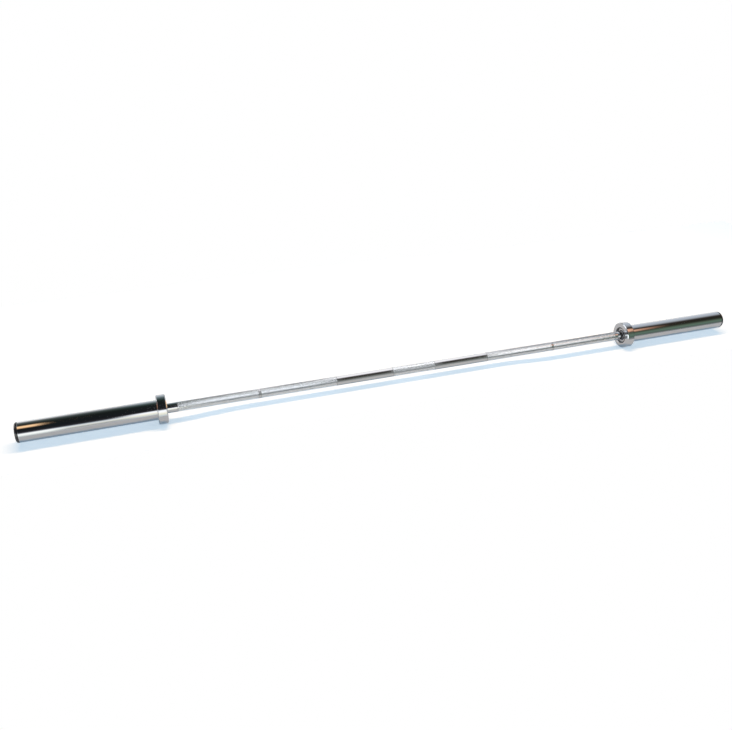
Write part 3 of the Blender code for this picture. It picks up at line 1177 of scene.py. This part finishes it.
middle_room = room(
    [
        (-30.0, (1.0, 1.0, 1.02)),
        (-10.0, (0.76, 0.77, 0.74)),
        (14.0, (0.37, 0.39, 0.37)),
        (34.0, (0.12, 0.12, 0.10)),
        (60.0, (0.06, 0.055, 0.05)),
        (76.0, (0.15, 0.14, 0.14)),
        (90.0, (1.25, 1.20, 1.22)),
        (104.0, (2.10, 2.05, 2.10)),
        (134.0, (1.85, 1.82, 1.85)),
        (180.0, (1.50, 1.50, 1.50)),
    ]
)
right_room = room(
    [
        (-30.0, (0.72, 0.74, 0.76)),
        (-16.0, (0.44, 0.46, 0.45)),
        (-3.0, (0.17, 0.25, 0.20)),
        (14.0, (0.23, 0.36, 0.27)),
        (30.0, (0.175, 0.24, 0.165)),
        (46.0, (0.060, 0.070, 0.050)),
        (62.0, (0.040, 0.036, 0.026)),
        (80.0, (0.055, 0.048, 0.040)),
        (90.0, (0.14, 0.135, 0.13)),
        (100.0, (0.46, 0.48, 0.51)),
        (112.0, (0.78, 0.85, 0.92)),
        (126.0, (0.90, 0.99, 1.11)),
        (143.0, (0.95, 1.02, 1.13)),
        (160.0, (1.20, 1.24, 1.30)),
        (180.0, (1.35, 1.37, 1.40)),
    ]
)
# Far out on each side are dark walls with a warm glint, which the left collar's bevels show.
left_wall = room(
    [
        (-30.0, (0.50, 0.50, 0.52)),
        (5.0, (0.05, 0.05, 0.055)),
        (110.0, (0.05, 0.05, 0.055)),
        (121.0, (0.85, 0.42, 0.25)),
        (133.0, (0.75, 0.38, 0.22)),
        (144.0, (0.08, 0.075, 0.07)),
        (162.0, (0.40, 0.40, 0.42)),
        (180.0, (1.0, 1.0, 1.02)),
    ]
)
right_wall = room(
    [
        (-30.0, (0.50, 0.50, 0.52)),
        (5.0, (0.05, 0.05, 0.055)),
        (104.0, (0.05, 0.05, 0.055)),
        (114.0, (1.5, 0.92, 0.50)),
        (134.0, (1.9, 1.20, 0.62)),
        (154.0, (1.8, 1.10, 0.55)),
        (166.0, (0.80, 0.74, 0.70)),
        (180.0, (1.0, 1.0, 1.02)),
    ]
)
left_grip_room = room(
    [
        (-30.0, (0.56, 0.70, 0.80)),
        (-14.0, (0.26, 0.32, 0.37)),
        (2.0, (0.18, 0.21, 0.24)),
        (12.0, (0.50, 0.53, 0.57)),
        (22.0, (1.30, 1.34, 1.39)),
        (34.0, (2.20, 2.27, 2.34)),
        (46.0, (2.45, 2.52, 2.60)),
        (60.0, (2.10, 2.18, 2.26)),
        (76.0, (1.50, 1.56, 1.63)),
        (92.0, (0.92, 0.95, 0.98)),
        (108.0, (0.52, 0.52, 0.53)),
        (126.0, (0.30, 0.30, 0.30)),
        (145.0, (0.38, 0.37, 0.37)),
        (162.0, (0.95, 0.94, 0.93)),
        (180.0, (1.4, 1.4, 1.4)),
    ]
)
centre_grip_room = room(
    [
        (-30.0, (0.56, 0.62, 0.66)),
        (-14.0, (0.22, 0.24, 0.27)),
        (4.0, (0.24, 0.25, 0.27)),
        (20.0, (0.85, 0.88, 0.91)),
        (40.0, (1.40, 1.44, 1.48)),
        (58.0, (1.40, 1.44, 1.48)),
        (74.0, (1.80, 1.84, 1.87)),
        (90.0, (2.2, 2.21, 2.22)),
        (106.0, (2.1, 2.08, 2.08)),
        (134.0, (1.6, 1.58, 1.58)),
        (180.0, (1.4, 1.4, 1.4)),
    ]
)
right_grip_room = room(
    [
        (-30.0, (0.50, 0.58, 0.68)),
        (-14.0, (0.20, 0.23, 0.27)),
        (-2.0, (0.12, 0.14, 0.16)),
        (7.0, (0.36, 0.37, 0.39)),
        (17.0, (1.30, 1.30, 1.32)),
        (28.0, (2.7, 2.7, 2.74)),
        (42.0, (3.0, 3.0, 3.0)),
        (58.0, (3.0, 3.0, 3.0)),
        (74.0, (2.35, 2.34, 2.37)),
        (90.0, (1.35, 1.33, 1.35)),
        (106.0, (0.62, 0.60, 0.62)),
        (126.0, (0.40, 0.39, 0.41)),
        (150.0, (0.60, 0.60, 0.62)),
        (180.0, (1.25, 1.25, 1.26)),
    ]
)


def beside_mark(mark):
    # All but the narrow part that the polished ring mark shows
    off = reckon(tree, "ABSOLUTE", reckon(tree, "SUBTRACT", sideways, mark))
    return smooth(off, 0.006, 0.012)


def between(value, start, full, still_full, end):
    return times(smooth(value, start, full), smooth(value, end, still_full))


# Sideways is the X of a direction, and with the turn it places the knurls, a window that only the
# collars' faces and bevels show, and the two warm lamps.
left_grip = times(between(sideways, 0.052, 0.062, 0.21, 0.25), beside_mark(0.148))
centre_grip = between(sideways, 0.312, 0.322, 0.355, 0.365)
right_grip = times(between(sideways, 0.424, 0.440, 0.554, 0.562), beside_mark(0.494))
window = times(smooth(sideways, -0.40, -0.50), between(turn, -24.0, -14.0, 15.0, 24.0))
left_lamp = times(
    between(sideways, -0.20, -0.16, -0.119, -0.100), between(turn, 60.0, 80.0, 85.0, 103.0)
)
right_lamp = times(
    between(sideways, 0.42, 0.48, 0.56, 0.612), between(turn, 38.0, 60.0, 64.0, 82.0)
)
dimmer = spread(tree, sideways, 0.47, 0.555, 0.0, 0.57)
dimmed_grip_room = mixed(tree, dimmer, right_grip_room, (0.0, 0.0, 0.0, 1.0))

shown = far_room
for start, full, next_room in (
    (-0.52, -0.42, end_room),
    (-0.105, -0.075, left_room),
    (-0.035, 0.01, near_room),
    (0.05, 0.10, middle_room),
    (0.38, 0.55, right_room),
    (-0.74, -0.84, left_wall),
    (0.80, 0.88, right_wall),
):
    shown = mixed(tree, smooth(sideways, start, full), shown, next_room)
for share, light in (
    (window, stored((2.8, 3.0, 3.0))),
    (left_lamp, stored((2.3, 1.45, 0.78))),
    (right_lamp, stored((1.92, 1.05, 0.68))),
    (left_grip, left_grip_room),
    (centre_grip, centre_grip_room),
    (right_grip, dimmed_grip_room),
):
    shown = mixed(tree, share, shown, light)
shown = mixed(tree, 1.0, shown, (brightest, brightest, brightest, 1.0), "MULTIPLY")

# What is not polished gets an even, cool light, a little stronger from low down.
low_sky = spread(tree, direction.outputs["Z"], 0.0, 1.0, 1.55, 0.45)
grey = add_node(tree, "ShaderNodeCombineXYZ", {"X": low_sky, "Y": low_sky, "Z": low_sky})
sky = mixed(tree, 1.0, (0.29, 0.40, 0.49, 1.0), grey.outputs["Vector"], "MULTIPLY")

ray = add_node(tree, "ShaderNodeLightPath", {})
shine = total(tree, ray.outputs["Is Glossy Ray"], ray.outputs["Is Transmission Ray"])
light = mixed(tree, shine, sky, shown)
light = mixed(tree, ray.outputs["Is Camera Ray"], light, (1.0, 1.0, 1.0, 1.0))
tree.links.new(light, background.inputs["Color"])
background.inputs["Strength"].default_value = 1.0


# Camera: where the photograph was taken from.
camera_data = bpy.data.cameras.new("camera")
camera_data.sensor_width = 36.0
camera_data.lens = 38.934
camera = bpy.data.objects.new("camera", camera_data)
camera.location = (-0.7259, -1.7524, 1.0459)
camera.rotation_euler = (math.radians(62.202), 0.0, math.radians(-18.636))
bpy.context.scene.collection.objects.link(camera)
bpy.context.scene.camera = camera

bpy.context.scene.view_settings.view_transform = "Standard"
